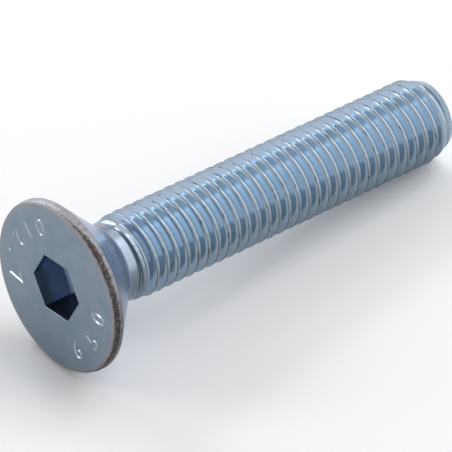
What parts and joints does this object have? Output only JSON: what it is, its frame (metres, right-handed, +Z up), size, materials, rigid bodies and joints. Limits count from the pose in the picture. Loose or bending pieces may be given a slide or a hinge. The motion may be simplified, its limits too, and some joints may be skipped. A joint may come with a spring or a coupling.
{
  "type": "countersunk socket screw",
  "caption": "Countersunk machine screw with a flat head, a hexagon socket and a coarse thread from its short neck to a chamfered tip.",
  "frame": {"origin": "on the surface that the screw lies on, below the middle of its box", "axes": "+Z up; the screw's length runs along Y, with the head toward -Y and the tip toward +Y; the tip is 5.7 degrees lower than the head, because the screw rests on the edge of its wide head and on a crest near its tip; +X is to the right for someone who looks along +Y"},
  "size_m": [0.024, 0.0664, 0.0239],
  "materials": {
    "zinc_plated_steel": "blue-white zinc plating over rolled and forged steel, satin, with worn crests"
  },
  "bodies": {
    "root": {"screw": "zinc_plated_steel"}
  },
  "joints": []
}
